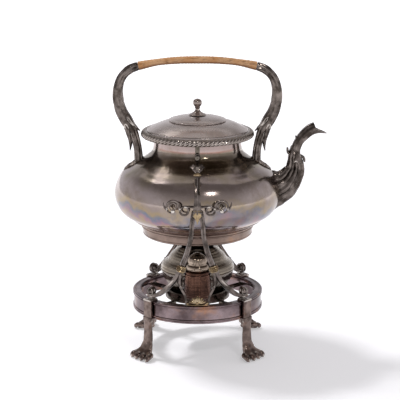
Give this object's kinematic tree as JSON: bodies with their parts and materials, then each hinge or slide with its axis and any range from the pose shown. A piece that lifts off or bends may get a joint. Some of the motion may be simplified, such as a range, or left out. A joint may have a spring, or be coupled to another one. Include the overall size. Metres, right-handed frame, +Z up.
{
  "type": "tilting spirit kettle with stand and burner",
  "caption": "Footed stand with a spirit burner, and a lidded kettle hung on two pins that tilts to pour through its spout.",
  "frame": {"origin": "on the stand axis, in the plane of the four paw soles", "axes": "+Z up along the kettle and stand axis, +X towards the spout, -Y towards the front, where the burner filler is"},
  "size_m": [0.277, 0.2316, 0.383],
  "materials": {
    "silver_plate": "worn silver plate on brass, polished, with brown and iridescent tarnish",
    "cast_plate": "cast brass, silver plated, dark tarnish in the hollows and pale edges",
    "gilt_brass": "cast brass where the plate has worn off, warm and satin",
    "brass_fitting": "turned and filed brass, dull",
    "burner_plate": "spun brass, silver plated, fine turning lines, tarnished",
    "ring_plate": "rolled brass band, silver plated, brown tarnish with coppery patches",
    "cane": "split cane wound round the grip",
    "wick_cotton": "braided cotton wick"
  },
  "bodies": {
    "stand": {"base_ring": "ring_plate", "brackets_front": "gilt_brass", "brackets_rear": "gilt_brass", "burner_bowl": "burner_plate", "burner_cradle": "brass_fitting", "burner_shroud": "burner_plate", "collars_front": "gilt_brass", "collars_rear": "gilt_brass", "filler_neck": "burner_plate", "hanger_front": "cast_plate", "hanger_rear": "cast_plate", "knop_front": "gilt_brass", "knop_rear": "gilt_brass", "leg_front_left": "cast_plate", "leg_front_right": "cast_plate", "leg_rear_left": "cast_plate", "leg_rear_right": "cast_plate", "leg_screws": "brass_fitting", "lyre_front": "cast_plate", "lyre_rear": "cast_plate", "reservoir_deck": "burner_plate", "scroll_leg_front_left": "cast_plate", "scroll_leg_front_right": "cast_plate", "scroll_leg_rear_left": "cast_plate", "scroll_leg_rear_right": "cast_plate", "shell_front": "gilt_brass", "shell_rear": "gilt_brass", "wick": "wick_cotton", "wick_tube": "burner_plate", "yoke_front": "cast_plate", "yoke_rear": "cast_plate"},
    "kettle": {"kettle_belly": "silver_plate", "kettle_shoulder": "silver_plate", "kettle_neck": "silver_plate", "kettle_bottom": "silver_plate", "kettle_foot_ring": "silver_plate", "gadroon_rim": "silver_plate", "spout": "cast_plate", "handle_arm_left": "cast_plate", "handle_arm_right": "cast_plate", "handle_foot_left": "cast_plate", "handle_foot_right": "cast_plate", "handle_grip_core": "brass_fitting", "handle_grip_wicker": "cane", "trunnion_front": "brass_fitting", "trunnion_rear": "brass_fitting", "trunnion_nuts": "brass_fitting"},
    "lid": {"lid_cover": "silver_plate", "lid_flange": "silver_plate", "lid_dome": "silver_plate", "lid_knob": "silver_plate", "lid_knob_nut": "brass_fitting"},
    "filler_cap": {"filler_cap": "burner_plate"}
  },
  "joints": [
    {"name": "kettle_tilt", "type": "hinge", "parent": "stand", "child": "kettle", "pos_m": [0, 0, 0.265], "axis": [0, 1, 0], "range_deg": [-12, 45]},
    {"name": "lid_lift", "type": "slide", "parent": "kettle", "child": "lid", "axis": [0, 0, 1], "range_m": [0, 0.035]},
    {"name": "filler_cap_turn", "type": "hinge", "parent": "stand", "child": "filler_cap", "pos_m": [0, -0.038, 0.122], "axis": [0, 0, 1], "range_deg": [0, 360]}
  ]
}
